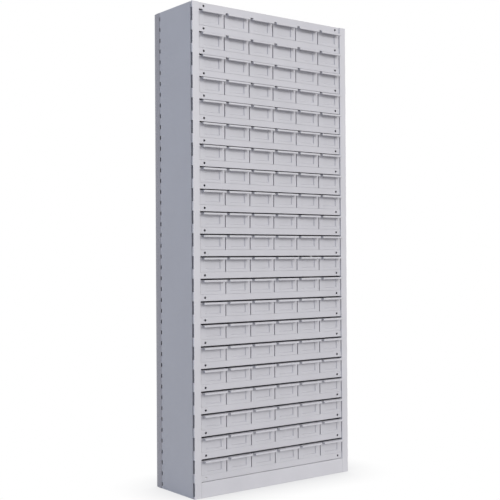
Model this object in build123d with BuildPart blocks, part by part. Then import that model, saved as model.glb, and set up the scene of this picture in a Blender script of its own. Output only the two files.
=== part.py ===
"""Closed steel parts-bin shelving: four folded posts, panels, pan shelves and rows of pull-out bins.

Millimetres, +Z up. The front faces -Y. The origin is on the floor, under the middle of the whole unit.
"""

import os
from math import cos, radians, sin

from build123d import *

# Layout of the bins. Rows are counted from the top and columns from the left, both from 1.
row_count = 21
row_pitch = 100.0
bins_per_row = 6
bin_pitch = 140.0
single_bin_rows = range(9, 14)

# Carcass
carcass_depth = 324.5
shelf_setback = 4.5
bottom_shelf_height = 100.0
assembly_gap = 0.3

# Posts: one folded sheet each, with a face and a return that the shelves are fixed to
post_sheet = 1.5
post_face = 38.0
post_return = 22.0
nose_depth = 9.5
corner_slot_length = 59.0
corner_slot_drop = 57.5
corner_slot_face = 2.0
rear_roll = 163.0
rear_roll_angle = 14.0
rear_bend = 6.0

# Panels: the side panels have a folded front edge and a notched rear edge that tucks in behind the rear post
panel_sheet = 1.0
panel_groove = 4.5
panel_lap = 8.0
rear_slots_per_row = 2
rear_slot_width = 6.5
rear_slot_height = 18.0
rear_slot_drop = 30.0

# Shelves: shallow pans, open below, with a square hole near each end of the front lip
shelf_sheet = 1.0
shelf_end_gap = 0.7
shelf_lip = 29.0
lip_hole = 9.4
lip_hole_inset = 27.0
lip_hole_drop = 14.5

# Kick plate: a channel that stands on the floor between the front posts
kick_sheet = 1.2
kick_gap = 2.0
kick_return = 14.0

# Foot plates, welded into the feet of the posts
foot_sheet = 3.0
foot_length = 40.0
anchor_hole_radius = 5.5

# Bins: folded trays with a label recess pressed into the front and a turned-down pull
bin_sheet = 0.8
bin_gap = 5.4
bin_headroom = 6.7
bin_rear_room = 12.0
running_gap = 0.3
pull_reach = 24.0
pull_height = 9.2
pull_inset = 5.5
recess_margin = 26.8
recess_rise = 12.5
recess_depth = 4.0

# Sizes and places worked out from the ones above
opening_width = bins_per_row * bin_pitch
half_opening = opening_width / 2
half_width = half_opening + post_face
unit_height = bottom_shelf_height + row_count * row_pitch
pull_overhang = pull_reach - shelf_setback
overall_depth = carcass_depth + pull_overhang
front_y = pull_overhang - overall_depth / 2
back_y = overall_depth / 2
shelf_front = front_y + shelf_setback
roll_run = rear_roll * sin(radians(rear_roll_angle))
roll_inset = rear_roll * (1 - cos(radians(rear_roll_angle)))
bend_run = rear_bend * (1 - sin(radians(rear_roll_angle)))
rear_post_flange = panel_lap + roll_run + bend_run
panel_x = half_width - post_sheet
panel_front = front_y + nose_depth + panel_groove
panel_rear = back_y - rear_post_flange + panel_lap
well_x = panel_x - panel_sheet - assembly_gap
well_front = panel_front + panel_sheet + assembly_gap
well_inner_x = half_opening + post_sheet + assembly_gap
panel_width = opening_width - 2 * assembly_gap
shelf_width = opening_width - 2 * shelf_end_gap
shelf_depth = carcass_depth - shelf_setback - panel_sheet
bin_width = bin_pitch - bin_gap
bin_depth = shelf_depth - bin_rear_room
bin_height = row_pitch - shelf_lip - bin_headroom - running_gap
kick_height = bottom_shelf_height - shelf_lip - kick_gap

os.makedirs("parts", exist_ok=True)


def shelf_top(level):
    """Height of a shelf's surface. Level 0 is the top shelf, and row n stands on level n."""
    return unit_height - level * row_pitch


def bin_seat(row, column):
    """Where the middle of a bin's lower front edge lies."""
    across = (column - (bins_per_row + 1) / 2) * bin_pitch
    return (across, shelf_front, shelf_top(row) + running_gap)


def write(part, name):
    """Label a finished piece and write it as one STEP file."""
    part.label = name
    export_step(part, f"parts/{name}.step")


# Front posts: a face with a return beside the shelves and a short nose, slotted through its outer corner
with BuildPart() as front_right_post:
    with BuildSketch(Plane.XY):
        with BuildLine():
            Polyline(
                (half_opening, front_y + post_return),
                (half_opening, front_y),
                (half_width, front_y),
                (half_width, front_y + nose_depth),
            )
            offset(amount=post_sheet, side=Side.LEFT)
        make_face()
    extrude(amount=unit_height)
    with BuildSketch(Plane.XZ.offset(-front_y)):
        with Locations(
            *[(half_width, shelf_top(level) - corner_slot_drop) for level in range(row_count)]
        ):
            Rectangle(2 * corner_slot_face, corner_slot_length)
    extrude(amount=-nose_depth, mode=Mode.SUBTRACT)
write(front_right_post.part, "front_right_post")

with BuildPart() as front_left_post:
    mirror(front_right_post.part, about=Plane.YZ)
write(front_left_post.part, "front_left_post")

# Rear posts: a flange that rolls gently inwards, a tight bend, a rear face and a return beside the shelves
with BuildPart() as rear_right_post:
    with BuildSketch(Plane.XY):
        with BuildLine():
            lap = Line((half_width, back_y - rear_post_flange), (half_width, panel_rear))
            roll = JernArc(lap @ 1, lap % 1, rear_roll, rear_roll_angle)
            corner = JernArc(roll @ 1, roll % 1, rear_bend, 90 - rear_roll_angle)
            Polyline(corner @ 1, (half_opening, back_y), (half_opening, back_y - post_return))
            offset(amount=post_sheet, side=Side.LEFT)
        make_face()
    extrude(amount=unit_height)
write(rear_right_post.part, "rear_right_post")

with BuildPart() as rear_left_post:
    mirror(rear_right_post.part, about=Plane.YZ)
write(rear_left_post.part, "rear_left_post")

# Side panels: the front edge is folded in to the post's return. The rear edge's notches show as slots.
rear_slot_count = row_count * rear_slots_per_row
rear_slot_pitch = row_pitch / rear_slots_per_row

with BuildPart() as right_side_panel:
    with BuildSketch(Plane.XY):
        with BuildLine():
            Polyline((well_inner_x, panel_front), (panel_x, panel_front), (panel_x, panel_rear))
            offset(amount=panel_sheet, side=Side.LEFT)
        make_face()
    extrude(amount=unit_height)
    with BuildSketch(Plane.YZ.offset(panel_x - panel_sheet)):
        with Locations(
            *[
                (panel_rear, unit_height - rear_slot_drop - place * rear_slot_pitch)
                for place in range(rear_slot_count)
            ]
        ):
            Rectangle(2 * (panel_lap + rear_slot_width), rear_slot_height)
    extrude(amount=panel_sheet, mode=Mode.SUBTRACT)
write(right_side_panel.part, "right_side_panel")

with BuildPart() as left_side_panel:
    mirror(right_side_panel.part, about=Plane.YZ)
write(left_side_panel.part, "left_side_panel")

# Back panel: a flat sheet riveted to the rear flanges of the shelves
with BuildPart() as back_panel:
    with BuildSketch(Plane.XZ.offset(-back_y)):
        with Locations((0, unit_height / 2)):
            Rectangle(panel_width, unit_height)
    extrude(amount=panel_sheet)
write(back_panel.part, "back_panel")

# Shelf: a pan with its flanges turned down, made once at the height of the top shelf
with BuildPart() as shelf:
    with BuildSketch(Plane.XY.offset(unit_height)):
        with Locations((0, shelf_front + shelf_depth / 2)):
            Rectangle(shelf_width, shelf_depth)
    extrude(amount=-shelf_lip)
    offset(amount=-shelf_sheet, openings=shelf.faces().sort_by(Axis.Z)[0])
    with BuildSketch(Plane.XZ.offset(-shelf_front)):
        with Locations((0, unit_height - lip_hole_drop)):
            with GridLocations(opening_width - 2 * lip_hole_inset, 0, 2, 1):
                Rectangle(lip_hole, lip_hole)
    extrude(amount=-shelf_sheet, mode=Mode.SUBTRACT)

# Top shelf: the same pan, with wings behind the posts that reach the side panels and close the top
wing_front = front_y + post_return + assembly_gap
wing_rear = back_y - post_return - assembly_gap
with BuildPart() as top_shelf:
    add(shelf.part)
    with BuildSketch(Plane.XY.offset(unit_height)):
        with Locations((0, wing_front)):
            Rectangle(2 * well_x, panel_rear - wing_front, align=(Align.CENTER, Align.MIN))
        with Locations((0, wing_rear)):
            Rectangle(
                2 * (well_x - roll_inset),
                wing_rear - panel_rear,
                align=(Align.CENTER, Align.MAX),
            )
    extrude(amount=-shelf_sheet)
write(top_shelf.part, "top_shelf")

with BuildPart() as middle_shelves:
    with Locations(*[(0, 0, shelf_top(level) - unit_height) for level in range(1, row_count)]):
        add(shelf.part)
write(middle_shelves.part, "middle_shelves")

with BuildPart() as bottom_shelf:
    with Locations((0, 0, bottom_shelf_height - unit_height)):
        add(shelf.part)
write(bottom_shelf.part, "bottom_shelf")

# Kick plate
with BuildPart() as kick_plate:
    with BuildSketch(Plane.YZ.offset(-panel_width / 2)):
        with BuildLine():
            Polyline(
                (front_y + kick_return, 0),
                (front_y, 0),
                (front_y, kick_height),
                (front_y + kick_return, kick_height),
            )
            offset(amount=kick_sheet, side=Side.RIGHT)
        make_face()
    extrude(amount=panel_width)
write(kick_plate.part, "kick_plate")

# Foot plates: one in each post, beside its return, with a hole for a floor anchor
foot_width = well_x - roll_inset - well_inner_x
foot_x = well_inner_x + foot_width / 2
foot_y = well_front + foot_length / 2
with BuildPart() as foot_plates:
    with BuildSketch(Plane.XY):
        with Locations((0, (front_y + back_y) / 2)):
            with GridLocations(2 * foot_x, front_y + back_y - 2 * foot_y, 2, 2):
                Rectangle(foot_width, foot_length)
                Circle(anchor_hole_radius, mode=Mode.SUBTRACT)
    extrude(amount=foot_sheet)
write(foot_plates.part, "foot_plates")

# Bin: a folded tray. Its front edge turns out into a pull, over a recess pressed in for a label.
recess_width = bin_width - 2 * recess_margin
with BuildPart() as parts_bin:
    with BuildSketch(Plane.XY):
        with Locations((0, bin_depth / 2)):
            Rectangle(bin_width, bin_depth)
    extrude(amount=bin_height)
    offset(amount=-bin_sheet, openings=parts_bin.faces().sort_by(Axis.Z)[-1])
    with BuildSketch(Plane.XZ.offset(-bin_sheet)):
        with Locations((0, bin_height)):
            Rectangle(
                recess_width + 2 * bin_sheet,
                bin_height - recess_rise + bin_sheet,
                align=(Align.CENTER, Align.MAX),
            )
    extrude(amount=-recess_depth)
    with BuildSketch(Plane.XZ):
        with Locations((0, recess_rise)):
            Rectangle(
                recess_width,
                bin_height - bin_sheet - recess_rise,
                align=(Align.CENTER, Align.MIN),
            )
    extrude(amount=-recess_depth, mode=Mode.SUBTRACT)
    with BuildSketch(Plane.YZ):
        with BuildLine():
            Polyline(
                (0, bin_height),
                (-pull_reach, bin_height),
                (-pull_reach, bin_height - pull_height),
            )
            offset(amount=bin_sheet, side=Side.LEFT)
        make_face()
    extrude(amount=bin_width / 2 - pull_inset, both=True)

# The bins of the rows at hand height are pieces of their own. Each other row is one group of six.
for row in range(1, row_count + 1):
    if row in single_bin_rows:
        for column in range(1, bins_per_row + 1):
            with BuildPart() as single_bin:
                with Locations(bin_seat(row, column)):
                    add(parts_bin.part)
            write(single_bin.part, f"bin_row_{row:02d}_column_{column}")
    else:
        with BuildPart() as bin_row:
            with Locations(*[bin_seat(row, column) for column in range(1, bins_per_row + 1)]):
                add(parts_bin.part)
        write(bin_row.part, f"bins_row_{row:02d}")
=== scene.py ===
"""Looks of the parts-bin shelving unit: a folded steel carcass filled with rows of pull-out steel bins.

Metres, +Z up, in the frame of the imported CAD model. The front faces -Y, and the bins pull out along -Y.
"""

import math

import bmesh
import bpy
from mathutils import Matrix, Vector


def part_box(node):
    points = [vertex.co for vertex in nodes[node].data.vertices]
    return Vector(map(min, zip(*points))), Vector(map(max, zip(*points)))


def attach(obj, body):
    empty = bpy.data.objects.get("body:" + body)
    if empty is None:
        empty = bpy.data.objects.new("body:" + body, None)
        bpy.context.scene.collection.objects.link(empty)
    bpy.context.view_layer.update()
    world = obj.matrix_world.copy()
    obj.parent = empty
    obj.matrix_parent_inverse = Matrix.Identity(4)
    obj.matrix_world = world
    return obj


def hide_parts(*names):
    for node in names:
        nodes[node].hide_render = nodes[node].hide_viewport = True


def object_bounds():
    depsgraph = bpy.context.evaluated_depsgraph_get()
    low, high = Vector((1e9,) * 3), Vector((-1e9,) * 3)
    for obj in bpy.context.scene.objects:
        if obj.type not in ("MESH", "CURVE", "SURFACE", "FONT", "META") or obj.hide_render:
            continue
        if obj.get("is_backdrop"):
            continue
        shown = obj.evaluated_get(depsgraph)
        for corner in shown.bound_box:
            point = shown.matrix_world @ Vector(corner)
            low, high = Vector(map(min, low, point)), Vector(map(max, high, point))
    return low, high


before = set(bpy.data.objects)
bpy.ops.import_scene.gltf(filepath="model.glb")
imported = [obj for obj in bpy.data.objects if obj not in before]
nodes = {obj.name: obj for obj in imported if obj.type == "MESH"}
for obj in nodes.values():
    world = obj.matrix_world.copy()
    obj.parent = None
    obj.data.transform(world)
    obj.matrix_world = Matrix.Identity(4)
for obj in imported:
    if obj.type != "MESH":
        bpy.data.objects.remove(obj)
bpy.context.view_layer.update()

# Posts
# Corner posts folded from mild steel strip and powder coated, with a return that holds the shelves. The
# front ones are slotted through their outer corner. The rear ones' side flange rolls gently inwards.
mm = 0.001
post_sheet = 1.5 * mm
crisp_bend = 2.2 * mm
nose_depth = 9.5 * mm
slot_length = 59 * mm
slot_drop = 57.5 * mm
slot_face = 2 * mm
slot_overrun = 4.75 * mm
rear_lap = 8 * mm
rear_roll = 163 * mm
rear_roll_angle = math.radians(14)
rear_bend = 6 * mm
arc_step = math.radians(7)
crease_angle = math.radians(35)


def linear(hex_colour):
    """Linear RGBA of an sRGB colour such as #C8C8CE."""
    shades = [int(hex_colour[place:place + 2], 16) / 255 for place in (1, 3, 5)]
    return [
        shade / 12.92 if shade <= 0.04045 else ((shade + 0.055) / 1.055) ** 2.4 for shade in shades
    ] + [1]


def add_node(tree, kind, inputs, **settings):
    """Add a node, set its properties, and set or link each of its inputs, by name or by place."""
    node = tree.nodes.new(kind)
    for name, value in settings.items():
        setattr(node, name, value)
    for key, value in inputs.items():
        if isinstance(value, bpy.types.NodeSocket):
            tree.links.new(value, node.inputs[key])
        else:
            node.inputs[key].default_value = value
    return node


def powder_coated_steel(name, dark, light):
    """Polyester powder, sprayed on and baked: an even satin skin with faint orange peel and soft clouds."""
    peel_grain = 5 * mm  # really about 1.5 mm, drawn coarser so that it shows
    peel_relief = 0.05 * mm
    cloud_size = 160 * mm
    smoothest = 0.36
    roughest = 0.5
    material = bpy.data.materials.new(name)
    material.use_nodes = True
    tree = material.node_tree
    tree.nodes.clear()
    place = add_node(tree, "ShaderNodeTexCoord", {}).outputs["Object"]
    peel = add_node(
        tree, "ShaderNodeTexNoise", {"Vector": place, "Scale": 1 / peel_grain, "Detail": 1.5}
    )
    clouds = add_node(
        tree, "ShaderNodeTexNoise", {"Vector": place, "Scale": 1 / cloud_size, "Detail": 4.0}
    )
    tone = add_node(
        tree,
        "ShaderNodeMix",
        {"Factor": clouds.outputs[0], "A": linear(dark), "B": linear(light)},
        data_type="RGBA",
    )
    satin = add_node(
        tree,
        "ShaderNodeMapRange",
        {"Value": clouds.outputs[0], "To Min": smoothest, "To Max": roughest},
    )
    relief = add_node(
        tree, "ShaderNodeBump", {"Height": peel.outputs[0], "Strength": 0.5, "Distance": peel_relief}
    )
    coat = add_node(
        tree,
        "ShaderNodeBsdfPrincipled",
        {
            "Base Color": tone.outputs["Result"],
            "Roughness": satin.outputs["Result"],
            "IOR": 1.5,
            "Normal": relief.outputs["Normal"],
        },
    )
    add_node(tree, "ShaderNodeOutputMaterial", {"Surface": coat.outputs["BSDF"]})
    return material


def folded_sheet(work, corners, bends, sheet, ends, lie=None):
    """Add a bent sheet to a bmesh. Its section turns left at each corner, and the sheet is on its left."""
    corners = [Vector(corner) for corner in corners]
    runs = [(after - before).normalized() for before, after in zip(corners, corners[1:])]
    lefts = [Vector((-run.y, run.x)) for run in runs]
    outer = [corners[0]]
    inner = [corners[0] + lefts[0] * sheet]
    for corner, into, out, left, bend in zip(corners[1:], runs, runs[1:], lefts, bends):
        turn = into.angle(out)
        centre = corner - into * bend * math.tan(turn / 2) + left * bend
        steps = math.ceil(turn / arc_step)
        for step in range(steps + 1):
            spoke = Matrix.Rotation(turn * step / steps, 2) @ -left
            outer.append(centre + spoke * bend)
            inner.append(centre + spoke * (bend - sheet))
    outer.append(corners[-1])
    inner.append(corners[-1] + lefts[-1] * sheet)
    (outer_low, outer_high), (inner_low, inner_high) = [
        [[work.verts.new((*point, end)) for point in side] for end in ends] for side in (outer, inner)
    ]
    for here in range(len(outer) - 1):
        then = here + 1
        work.faces.new((outer_low[here], outer_low[then], outer_high[then], outer_high[here]))
        work.faces.new((inner_low[then], inner_low[here], inner_high[here], inner_high[then]))
        work.faces.new((outer_low[here], inner_low[here], inner_low[then], outer_low[then]))
        work.faces.new((outer_high[here], outer_high[then], inner_high[then], inner_high[here]))
    work.faces.new((outer_low[0], outer_high[0], inner_high[0], inner_low[0]))
    work.faces.new((outer_low[-1], inner_low[-1], inner_high[-1], outer_high[-1]))
    if lie:
        bmesh.ops.transform(work, matrix=lie, verts=outer_low + outer_high + inner_low + inner_high)


def finished_mesh(work, name):
    """Turn a bmesh into a mesh that is smooth round its bends and creased at its cut edges."""
    mesh = bpy.data.meshes.new(name)
    work.to_mesh(mesh)
    work.free()
    mesh.shade_smooth()
    mesh.set_sharp_from_angle(angle=crease_angle)
    return mesh


def painted_piece(mesh, name, body, node, coat):
    """Hang a painted piece on its body in place of a CAD node. Its flats shade flat up to their bends."""
    piece = bpy.data.objects.new(name, mesh)
    bpy.context.scene.collection.objects.link(piece)
    mesh.materials.append(coat)
    flats = piece.modifiers.new("flat_faces", "WEIGHTED_NORMAL")
    flats.keep_sharp = True
    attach(piece, body)
    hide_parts(node)


def cut_away(mesh, cutters):
    """Cut the closed shapes of a bmesh out of a mesh."""
    cutter_mesh = bpy.data.meshes.new("cutters")
    cutters.to_mesh(cutter_mesh)
    cutters.free()
    blank = bpy.data.objects.new("blank", mesh)
    tool = bpy.data.objects.new("tool", cutter_mesh)
    bpy.context.scene.collection.objects.link(blank)
    bpy.context.scene.collection.objects.link(tool)
    cut = blank.modifiers.new("cut", "BOOLEAN")
    cut.object = tool
    ready = blank.evaluated_get(bpy.context.evaluated_depsgraph_get())
    result = bpy.data.meshes.new_from_object(ready)
    bpy.data.objects.remove(blank)
    bpy.data.objects.remove(tool)
    return result


def front_post():
    """The right front post: return, face and nose, with a slot for each row and one at the kick plate."""
    low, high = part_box("front_right_post")
    section = [(low.x, high.y), (low.x, low.y), (high.x, low.y), (high.x, low.y + nose_depth)]
    work = bmesh.new()
    folded_sheet(work, section, [crisp_bend, crisp_bend], post_sheet, (low.z, high.z))
    slots = bmesh.new()
    for place in range(row_count + 1):
        middle = Vector((high.x, low.y, high.z - place * row_pitch - slot_drop))
        size = (2 * slot_face, 2 * (nose_depth + slot_overrun), slot_length, 1)
        bmesh.ops.create_cube(slots, size=1, matrix=Matrix.Translation(middle) @ Matrix.Diagonal(size))
    return cut_away(finished_mesh(work, "front_post"), slots)


def rear_post():
    """The right rear post: a flange that rolls inwards, a tight bend, a rear face and a return."""
    low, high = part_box("rear_right_post")
    roll_middle = low.y + rear_lap + rear_roll * math.tan(rear_roll_angle / 2)
    corner_x = high.x - (high.y - roll_middle) * math.tan(rear_roll_angle)
    section = [
        (high.x, low.y),
        (high.x, roll_middle),
        (corner_x, high.y),
        (low.x, high.y),
        (low.x, high.y - post_return),
    ]
    work = bmesh.new()
    folded_sheet(work, section, [rear_roll, rear_bend, crisp_bend], post_sheet, (low.z, high.z))
    return finished_mesh(work, "rear_post")


def dress_both_sides(right_mesh, node_pattern, coat):
    """Hang a right-hand carcass piece and its mirror image in place of their nodes."""
    for side in ("right", "left"):
        work = bmesh.new()
        work.from_mesh(right_mesh)
        if side == "left":
            bmesh.ops.transform(work, matrix=mirrored, verts=work.verts)
            bmesh.ops.reverse_faces(work, faces=work.faces)
        node = node_pattern.format(side)
        mesh = finished_mesh(work, node)
        painted_piece(mesh, f"folded_{node}", "carcass", node, coat)


carcass_coat = powder_coated_steel("light_grey_powder_coat", "#C6C5CB", "#D2D1D7")
# The rear posts wear the same powder coat painted darker: painted shade for the rear edge that turns away
# from the light.
rear_shaded_coat = powder_coated_steel("rear_painted_shade_powder_coat", "#ACA9AF", "#B6B3B9")
mirrored = Matrix.Diagonal((-1, 1, 1, 1))
front_low, front_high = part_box("front_right_post")
post_return = front_high.y - front_low.y
row_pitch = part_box("top_shelf")[1].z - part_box("middle_shelves")[1].z
row_count = round((front_high.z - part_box("bottom_shelf")[1].z) / row_pitch)
dress_both_sides(front_post(), "front_{}_post", carcass_coat)
dress_both_sides(rear_post(), "rear_{}_post", rear_shaded_coat)

# Side and back panels
# Powder-coated sheets of 1 mm steel. A flange behind the side ones' free front edge is welded to the
# post, and their notched rear edge tucks in behind the rear post. The back one is the flat CAD sheet.
panel_sheet = 1 * mm
edge_trim = 1.5 * mm
rear_slots_per_row = 2
rear_slot_width = 6.5 * mm
rear_slot_height = 18 * mm
rear_slot_drop = 30 * mm
cut_depth = 4 * mm


def side_panel():
    """The right side panel: its sheet with the notches, and the flange."""
    low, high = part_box("right_side_panel")
    sheet = bmesh.new()
    section = [(high.x, low.y + edge_trim), (high.x, high.y)]
    folded_sheet(sheet, section, [], panel_sheet, (low.z, high.z))
    notches = bmesh.new()
    size = (cut_depth, 2 * (rear_lap + rear_slot_width), rear_slot_height, 1)
    for place in range((row_count + 1) * rear_slots_per_row):
        height = high.z - rear_slot_drop - place * row_pitch / rear_slots_per_row
        middle = Matrix.Translation((high.x, high.y, height))
        bmesh.ops.create_cube(notches, size=1, matrix=middle @ Matrix.Diagonal(size))
    work = bmesh.new()
    work.from_mesh(cut_away(finished_mesh(sheet, "panel_sheet"), notches))
    flange_y = front_high.y - panel_sheet
    flange = [(low.x, flange_y), (high.x - panel_sheet, flange_y)]
    folded_sheet(work, flange, [], panel_sheet, (low.z, high.z))
    return finished_mesh(work, "side_panel")


dress_both_sides(side_panel(), "{}_side_panel", carcass_coat)
back = nodes["back_panel"].data
back.materials.clear()
back.materials.append(carcass_coat)

# Shelves
# Pans of 1 mm steel with a lip turned down all round, powder coated and fixed by their ends to the
# posts. The front lip has a round hole near each end.
shelf_sheet = 1 * mm
shelf_bend = 1.8 * mm
lip_hole_radius = 5.3 * mm
lip_hole_inset = 27 * mm
lip_hole_drop = 14.5 * mm
hole_sides = 28
across = Matrix(((0, 0, 1, 0), (1, 0, 0, 0), (0, 1, 0, 0), (0, 0, 0, 1)))
shelf_low, shelf_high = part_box("bottom_shelf")
shelf_lip = shelf_high.z - shelf_low.z
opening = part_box("front_right_post")[0].x


def shelf_pan():
    """One pan, at the height of the bottom shelf."""
    work = bmesh.new()
    section = [
        (shelf_high.y, shelf_low.z),
        (shelf_high.y, shelf_high.z),
        (shelf_low.y, shelf_high.z),
        (shelf_low.y, shelf_low.z),
    ]
    ends = (shelf_low.x, shelf_high.x)
    folded_sheet(work, section, [shelf_bend, shelf_bend], shelf_sheet, ends, across)
    side_lip = [(shelf_low.y + shelf_bend, shelf_low.z), (shelf_high.y - shelf_bend, shelf_low.z)]
    for edge in (shelf_low.x, shelf_high.x - shelf_sheet):
        folded_sheet(work, side_lip, [], shelf_lip - shelf_sheet, (edge, edge + shelf_sheet), across)
    blank = finished_mesh(work, "shelf_blank")
    drills = bmesh.new()
    for x in (lip_hole_inset - opening, opening - lip_hole_inset):
        middle = Vector((x, shelf_low.y, shelf_high.z - lip_hole_drop))
        bmesh.ops.create_cone(
            drills,
            cap_ends=True,
            segments=hole_sides,
            radius1=lip_hole_radius,
            radius2=lip_hole_radius,
            depth=cut_depth,
            matrix=Matrix.Translation(middle) @ Matrix.Rotation(math.pi / 2, 4, "X"),
        )
    return cut_away(blank, drills)


def copies(mesh, offsets, name):
    """A mesh of copies of another, one at each offset."""
    work = bmesh.new()
    for offset in offsets:
        first = len(work.verts)
        work.from_mesh(mesh)
        work.verts.ensure_lookup_table()
        bmesh.ops.translate(work, verts=work.verts[first:], vec=offset)
    return finished_mesh(work, name)


# The carcass's powder coat, painted a few levels darker on the shelves and bins: painted shade for the
# light that the pulls and rows shut out.
shaded_shelf_coat = powder_coated_steel("shelf_painted_shade_powder_coat", "#C1C0C6", "#CDCCD2")
pan = shelf_pan()
lifts = [Vector((0, 0, row_pitch * level)) for level in range(1, row_count)]
for node, offsets in (("bottom_shelf", [Vector()]), ("middle_shelves", lifts)):
    pans = copies(pan, offsets, node)
    painted_piece(pans, f"folded_{node}", "carcass", node, shaded_shelf_coat)

# Top shelf
# The same pan of powder-coated steel, with a wing at each end that reaches the side panel and closes the
# top. The wing is narrower at the rear, where the post's flange rolls inwards.
assembly_gap = 0.3 * mm
top_low, top_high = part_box("top_shelf")
panel_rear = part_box("right_side_panel")[1].y
wing_front = front_high.y + assembly_gap
wing_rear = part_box("rear_right_post")[1].y - post_return - assembly_gap
roll_inset = rear_roll * (1 - math.cos(rear_roll_angle))
work = bmesh.new()
work.from_mesh(copies(pan, [Vector((0, 0, top_high.z - shelf_high.z))], "top_pan"))
for near, far, inset in ((wing_front, panel_rear, 0), (panel_rear, wing_rear, roll_inset)):
    wing = [(far, top_high.z), (near, top_high.z)]
    for ends in ((top_low.x + inset, shelf_low.x), (shelf_high.x, top_high.x - inset)):
        folded_sheet(work, wing, [], shelf_sheet, ends, across)
top_pan = finished_mesh(work, "top_shelf")
painted_piece(top_pan, "folded_top_shelf", "carcass", "top_shelf", shaded_shelf_coat)

# Kick plate
# A channel of 1.2 mm steel, folded and powder coated. It stands on the floor between the front posts,
# under the bottom shelf.
kick_sheet = 1.2 * mm
kick_low, kick_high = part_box("kick_plate")
work = bmesh.new()
channel = [
    (kick_high.y, kick_high.z),
    (kick_low.y, kick_high.z),
    (kick_low.y, kick_low.z),
    (kick_high.y, kick_low.z),
]
folded_sheet(work, channel, [crisp_bend, crisp_bend], kick_sheet, (kick_low.x, kick_high.x), across)
kick = finished_mesh(work, "kick_plate")
painted_piece(kick, "folded_kick_plate", "carcass", "kick_plate", carcass_coat)

# Foot plates
# Four 3 mm plates in the feet of the posts, each with a hole for a floor anchor. They are cut from
# galvanised sheet, and the CAD plates are kept.


def galvanised_sheet():
    """Zinc on steel from a hot bath: a dull metal whose crystals show as flakes of differing grey."""
    flake_size = 9 * mm
    smoothest = 0.38
    roughest = 0.6
    material = bpy.data.materials.new("galvanised_sheet")
    material.use_nodes = True
    tree = material.node_tree
    tree.nodes.clear()
    place = add_node(tree, "ShaderNodeTexCoord", {}).outputs["Object"]
    flakes = add_node(tree, "ShaderNodeTexVoronoi", {"Vector": place, "Scale": 1 / flake_size})
    grey = add_node(tree, "ShaderNodeRGBToBW", {"Color": flakes.outputs["Color"]}).outputs[0]
    tone = add_node(
        tree,
        "ShaderNodeMix",
        {"Factor": grey, "A": linear("#9C9D9E"), "B": linear("#BCBDBD")},
        data_type="RGBA",
    )
    dull = add_node(
        tree, "ShaderNodeMapRange", {"Value": grey, "To Min": smoothest, "To Max": roughest}
    )
    zinc = add_node(
        tree,
        "ShaderNodeBsdfPrincipled",
        {"Base Color": tone.outputs["Result"], "Metallic": 1.0, "Roughness": dull.outputs["Result"]},
    )
    add_node(tree, "ShaderNodeOutputMaterial", {"Surface": zinc.outputs["BSDF"]})
    return material


feet = nodes["foot_plates"].data
feet.materials.clear()
feet.materials.append(galvanised_sheet())

# Bins
# Trays folded from 0.8 mm steel and powder coated, which slide on the shelves and lift out. The front has
# a shallow pressed recess for a label, and its upper edge is folded out round a flat bar into a pull.
bin_sheet = 0.8 * mm
bin_bend = 1.4 * mm
bend_steps = 3
round_profile = 0.5
recess_margin = 25.3 * mm
recess_rise = 12.5 * mm
recess_depth = 4 * mm
recess_draft = 3 * mm
pull_height = 9.2 * mm
pull_depth = 7 * mm
pull_bend = 2 * mm
pull_inset = 5.5 * mm
columns = 6
bin_low, bin_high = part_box("bin_row_09_column_1")
bin_width = bin_high.x - bin_low.x
bin_height = bin_high.z - bin_low.z
bin_depth = bin_high.y - shelf_low.y
pull_reach = shelf_low.y - bin_low.y


def bin_tray():
    """The tray, with its recess, as a mesh of its outer faces that is then thickened inwards."""
    half = bin_width / 2
    frame_edge = half - recess_margin
    recess_edge = frame_edge - recess_draft
    work = bmesh.new()
    heights = (0, recess_rise, bin_height)
    front = [
        [work.verts.new((x, 0, z)) for z in heights] for x in (-half, -frame_edge, frame_edge, half)
    ]
    rear = [[work.verts.new((x, bin_depth, z)) for z in (0, bin_height)] for x in (-half, half)]
    pressed = [
        [work.verts.new((x, recess_depth, z)) for z in (recess_rise + recess_draft, bin_height)]
        for x in (-recess_edge, recess_edge)
    ]
    left, frame_left, frame_right, right = front
    pressed_left, pressed_right = pressed
    rear_left, rear_right = rear
    for face in (
        (left[0], rear_left[0], rear_right[0], right[0], frame_right[0], frame_left[0]),
        (left[0], left[1], left[2], rear_left[1], rear_left[0]),
        (rear_right[0], rear_right[1], right[2], right[1], right[0]),
        (rear_left[0], rear_left[1], rear_right[1], rear_right[0]),
        (left[0], frame_left[0], frame_left[1], left[1]),
        (frame_left[0], frame_right[0], frame_right[1], frame_left[1]),
        (frame_right[0], right[0], right[1], frame_right[1]),
        (left[1], frame_left[1], frame_left[2], left[2]),
        (frame_right[1], right[1], right[2], frame_right[2]),
        (frame_left[1], frame_right[1], pressed_right[0], pressed_left[0]),
        (frame_left[1], pressed_left[0], pressed_left[1], frame_left[2]),
        (frame_right[1], frame_right[2], pressed_right[1], pressed_right[0]),
        (pressed_left[0], pressed_right[0], pressed_right[1], pressed_left[1]),
    ):
        work.faces.new(face)
    folds = [edge for edge in work.edges if edge.calc_face_angle(0) > crease_angle]
    bmesh.ops.bevel(
        work, geom=folds, offset=bin_bend, segments=bend_steps, profile=round_profile, affect="EDGES"
    )
    tray = bpy.data.objects.new("tray", finished_mesh(work, "tray"))
    bpy.context.scene.collection.objects.link(tray)
    wall = tray.modifiers.new("wall", "SOLIDIFY")
    wall.thickness = bin_sheet
    wall.use_even_offset = True
    ready = tray.evaluated_get(bpy.context.evaluated_depsgraph_get())
    thickened = bpy.data.meshes.new_from_object(ready)
    bpy.data.objects.remove(tray)
    return thickened


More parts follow.
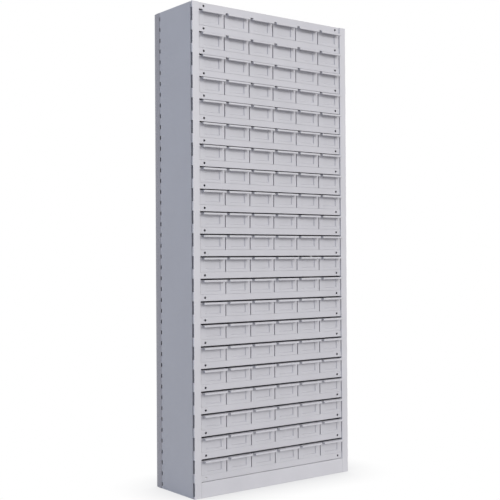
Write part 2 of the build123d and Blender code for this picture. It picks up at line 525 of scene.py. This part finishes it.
def parts_bin():
    """One bin, with the middle of its lower front edge at the origin."""
    work = bmesh.new()
    work.from_mesh(bin_tray())
    hem_rear = pull_depth - pull_reach
    hem_low = bin_height - pull_height
    section = [
        (0, bin_height),
        (-pull_reach, bin_height),
        (-pull_reach, hem_low),
        (hem_rear, hem_low),
        (hem_rear, bin_height - bin_sheet),
    ]
    reach = bin_width / 2 - pull_inset
    folded_sheet(work, section, [pull_bend] * 3, bin_sheet, (-reach, reach), across)
    bar_middle = Vector((0, hem_rear - pull_depth / 2, bin_height - pull_height / 2))
    bar_size = (2 * (reach - bin_sheet), pull_depth - 2 * bin_sheet, pull_height - 2 * bin_sheet, 1)
    bar_place = Matrix.Translation(bar_middle) @ Matrix.Diagonal(bar_size)
    bmesh.ops.create_cube(work, size=1, matrix=bar_place)
    roof = bin_width / 2 - recess_margin - recess_draft
    roof_section = [(recess_depth, bin_height), (0, bin_height)]
    folded_sheet(work, roof_section, [], bin_sheet, (-roof, roof), across)
    return finished_mesh(work, "parts_bin")


one_bin = parts_bin()
for node in nodes:
    if node.startswith("bin"):
        low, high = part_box(node)
        count = 1 if "column" in node else columns
        pitch = (high.x - low.x - bin_width) / max(count - 1, 1)
        first_x = low.x + bin_width / 2
        seats = [Vector((first_x + place * pitch, shelf_low.y, low.z)) for place in range(count)]
        bins = copies(one_bin, seats, node)
        # The bins wear the shelves' coat, with its painted shade.
        painted_piece(bins, f"folded_{node}", node, node, shaded_shelf_coat)

# Light
# A plain white studio. Its soft dome is brightest up in front and bluer on the left, and one broad lamp
# stands in front on the right.
dome_aim = Vector((-0.06, -0.78, 0.50)).normalized()
dome_peak = 1.02
key_aim = Vector((0.30, -0.85, 0.31)).normalized()
key_spread = math.radians(20)
key_strength = 1.0


def seen_directly(tree):
    """1 for rays that show the background itself: straight from the camera, mirrored, or through glass."""
    path = add_node(tree, "ShaderNodeLightPath", {}).outputs
    shiny = add_node(
        tree,
        "ShaderNodeMath",
        {0: path["Is Glossy Ray"], 1: path["Is Transmission Ray"]},
        operation="MAXIMUM",
    )
    seen = add_node(
        tree, "ShaderNodeMath", {0: path["Is Camera Ray"], 1: shiny.outputs[0]}, operation="MAXIMUM"
    )
    return seen.outputs[0]


studio = bpy.data.worlds.new("white_studio")
studio.use_nodes = True
tree = studio.node_tree
tree.nodes.clear()
way = add_node(tree, "ShaderNodeTexCoord", {}).outputs["Generated"]
facing = add_node(tree, "ShaderNodeVectorMath", {0: way, 1: dome_aim}, operation="DOT_PRODUCT")
share = add_node(tree, "ShaderNodeMapRange", {"Value": facing.outputs["Value"], "From Min": -1.0})
level = add_node(
    tree, "ShaderNodeMath", {0: share.outputs["Result"], 1: dome_peak}, operation="MULTIPLY"
)
leftward = add_node(tree, "ShaderNodeVectorMath", {0: way, 1: (-1, 0, 0)}, operation="DOT_PRODUCT")
tint = add_node(
    tree,
    "ShaderNodeMix",
    {"Factor": leftward.outputs["Value"], "A": linear("#FFFBF3"), "B": linear("#CADEFF")},
    data_type="RGBA",
)
dome = add_node(
    tree, "ShaderNodeBackground", {"Color": tint.outputs["Result"], "Strength": level.outputs[0]}
)
white = add_node(tree, "ShaderNodeBackground", {"Color": linear("#FFFFFF"), "Strength": 1.0})
sky = add_node(
    tree, "ShaderNodeMixShader", {0: seen_directly(tree), 1: dome.outputs[0], 2: white.outputs[0]}
)
add_node(tree, "ShaderNodeOutputWorld", {"Surface": sky.outputs[0]})
bpy.context.scene.world = studio

lamp = bpy.data.lights.new("key", "SUN")
lamp.angle = key_spread
lamp.energy = key_strength
key = bpy.data.objects.new("key", lamp)
key.rotation_euler = key_aim.to_track_quat("Z", "Y").to_euler()
bpy.context.scene.collection.objects.link(key)

# Floor
# A plain white floor that fades into the white studio. It throws light up at the unit, and seen directly it
# glows white with a soft painted shadow at the unit's foot.
floor_size = 16000 * mm
shadow_reach = 250 * mm


def white_floor():
    """White glow with a painted shadow, greyer where the unit shuts light out; matt grey to other rays."""
    material = bpy.data.materials.new("white_floor_painted_shadow")
    material.use_nodes = True
    tree = material.node_tree
    tree.nodes.clear()
    open_sky = add_node(tree, "ShaderNodeAmbientOcclusion", {"Distance": shadow_reach})
    openness = open_sky.outputs["AO"]
    tone = add_node(
        tree,
        "ShaderNodeMix",
        {"Factor": openness, "A": linear("#CFCFD2"), "B": linear("#FFFFFF")},
        data_type="RGBA",
    )
    # Painted shadow: the glow seen directly is greyed by occlusion near the unit.
    paint = add_node(tree, "ShaderNodeEmission", {"Color": tone.outputs["Result"]})
    matt = add_node(tree, "ShaderNodeBsdfDiffuse", {"Color": linear("#D0D0D0")})
    face = add_node(
        tree, "ShaderNodeMixShader", {0: seen_directly(tree), 1: matt.outputs[0], 2: paint.outputs[0]}
    )
    add_node(tree, "ShaderNodeOutputMaterial", {"Surface": face.outputs[0]})
    return material


work = bmesh.new()
bmesh.ops.create_grid(work, size=floor_size / 2)
floor = bpy.data.objects.new("floor", finished_mesh(work, "floor"))
floor.data.materials.append(white_floor())
bpy.context.scene.collection.objects.link(floor)
floor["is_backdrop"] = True

# Camera
# It stands to the left of the front at about half the unit's height and looks at the unit's middle. Its
# place, lens and turn come from a fit to the rows, the posts and the outline.
left_of_middle = 2831.5 * mm
before_lips = 3551.2 * mm
above_floor = 1064.1 * mm
focal_length = 69.68  # in millimetres, as a lens takes it
sensor_width = 36
yaw = math.radians(37.145)
tilt = math.radians(0.438)
roll = math.radians(-0.348)
lens = bpy.data.cameras.new("camera")
lens.lens = focal_length
lens.sensor_width = sensor_width
camera = bpy.data.objects.new("camera", lens)
camera.matrix_world = (
    Matrix.Translation((-left_of_middle, shelf_low.y - before_lips, above_floor))
    @ Matrix.Rotation(-yaw, 4, "Z")
    @ Matrix.Rotation(math.pi / 2 + tilt, 4, "X")
    @ Matrix.Rotation(roll, 4, "Z")
)
bpy.context.scene.collection.objects.link(camera)
bpy.context.scene.camera = camera
bpy.context.scene.view_settings.view_transform = "Standard"

# Bounds of the dressed unit as it renders, the floor aside
low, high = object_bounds()
